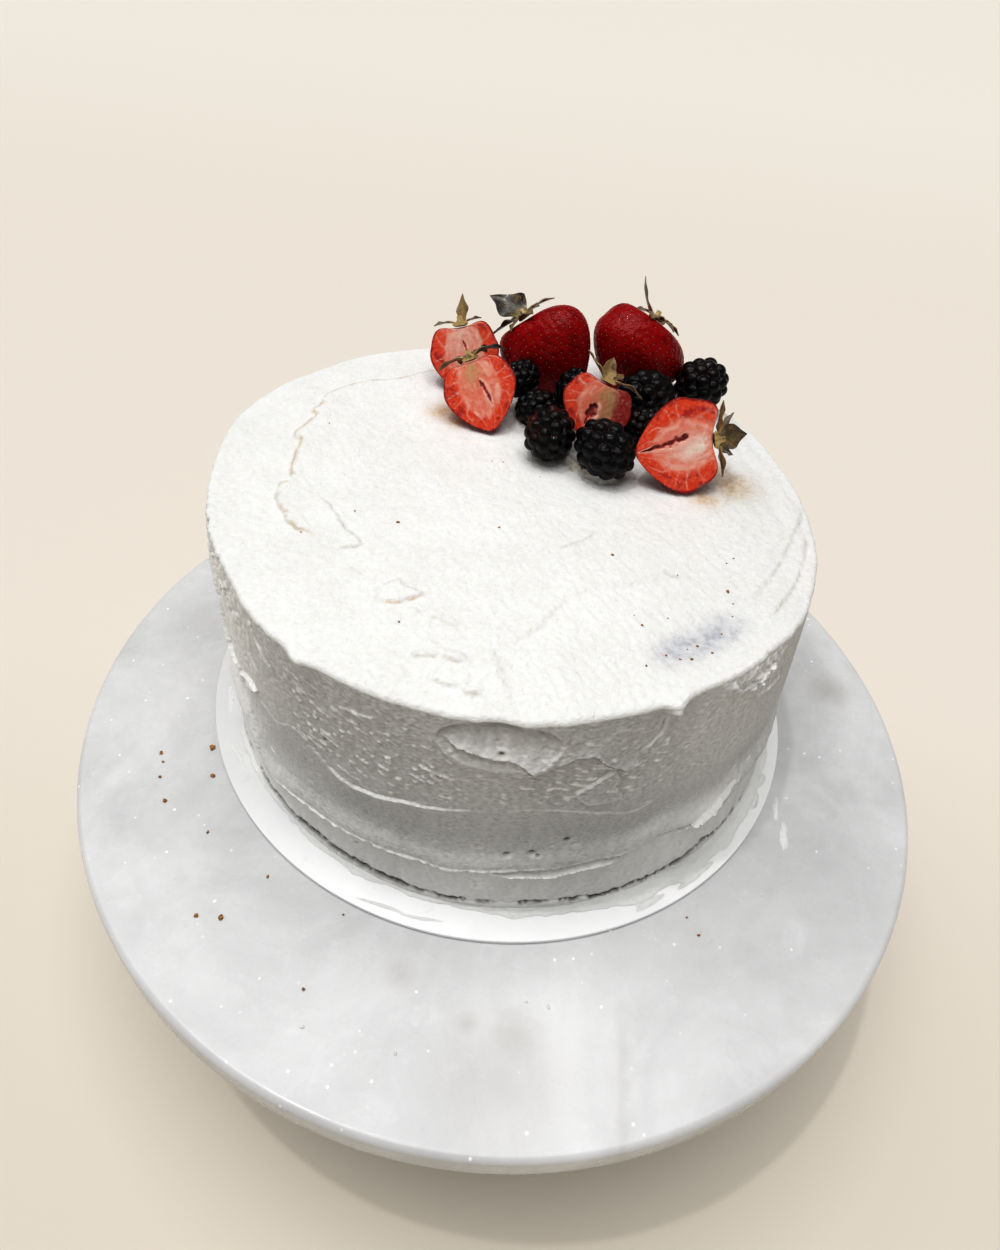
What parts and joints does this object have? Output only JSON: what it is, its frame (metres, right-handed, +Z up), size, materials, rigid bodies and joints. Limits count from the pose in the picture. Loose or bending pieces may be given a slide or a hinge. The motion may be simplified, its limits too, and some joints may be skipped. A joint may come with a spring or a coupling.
{
  "type": "buttercream berry cake on cake stand",
  "caption": "Round cake iced in white buttercream with a heap of strawberries and brambles at its back, on a thin round board on a pale marble pedestal stand.",
  "frame": {"origin": "centre of the underside of the stand's foot, on the table", "axes": "+Z up; -Y points at the side of the cake with the scraped icing; +X is to the right seen from there"},
  "size_m": [0.32, 0.32, 0.2247],
  "materials": {
    "marble": "polished pale grey cloudy marble with fine sparkling crystals",
    "board_card": "smooth white laminated card",
    "buttercream": "soft matt white icing spread with a palette knife",
    "strawberry_flesh": "moist cut strawberry, pink to orange-red",
    "strawberry_skin": "glossy dark red skin with small seeds",
    "calyx_leaf": "wilting olive-brown leaf",
    "bramble_skin": "glossy near-black drupelets"
  },
  "bodies": {
    "root": {"stand_plate": "marble", "stand_foot": "marble", "cake_board": "board_card", "cake": "buttercream", "strawberry_half_left": "strawberry_flesh", "strawberry_half_front_left": "strawberry_flesh", "strawberry_half_middle": "strawberry_flesh", "strawberry_half_right": "strawberry_flesh", "strawberry_whole_left": "strawberry_skin", "strawberry_whole_right": "strawberry_skin", "calyx_left": "calyx_leaf", "calyx_front_left": "calyx_leaf", "calyx_middle": "calyx_leaf", "calyx_right": "calyx_leaf", "calyx_back_left": "calyx_leaf", "calyx_back_right": "calyx_leaf", "bramble_front_left": "bramble_skin", "bramble_front": "bramble_skin", "bramble_left_low": "bramble_skin", "bramble_left_high": "bramble_skin", "bramble_middle": "bramble_skin", "bramble_right": "bramble_skin", "bramble_right_low": "bramble_skin", "bramble_back_right": "bramble_skin"}
  },
  "joints": []
}
